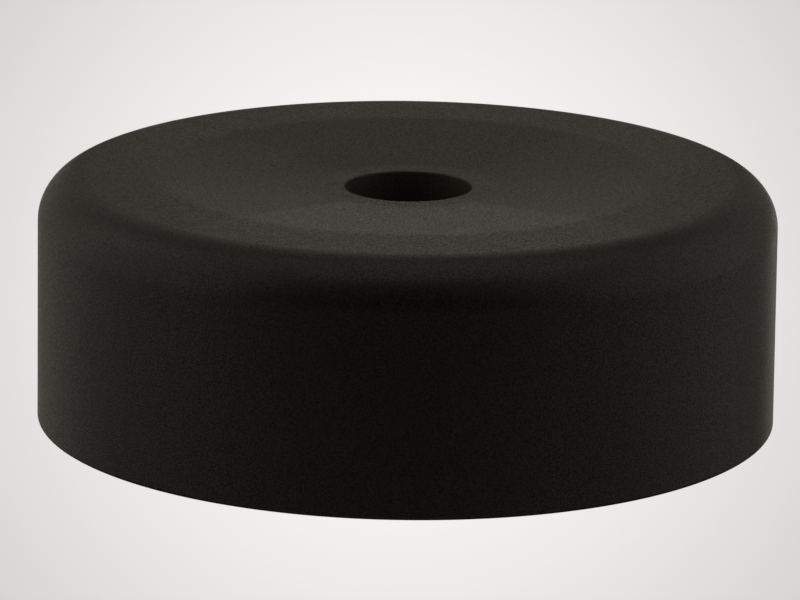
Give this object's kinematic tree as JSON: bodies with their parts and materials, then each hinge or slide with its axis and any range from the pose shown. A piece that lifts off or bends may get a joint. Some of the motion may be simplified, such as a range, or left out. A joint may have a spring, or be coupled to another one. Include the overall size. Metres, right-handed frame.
{
  "type": "furniture glide",
  "caption": "Round black plastic furniture glide with a shallow dished running face, a rolled shoulder, a flat base and a plain screw bore through the middle.",
  "frame": {"origin": "middle of the flat base, on the bore's axis", "axes": "+Z along the bore's axis, from the flat base to the dished running face"},
  "size_m": [0.038, 0.038, 0.0127],
  "materials": {
    "black_plastic": "warm black moulded plastic, satin to matt, with a very fine grain"
  },
  "bodies": {
    "root": {"glide": "black_plastic"}
  },
  "joints": []
}
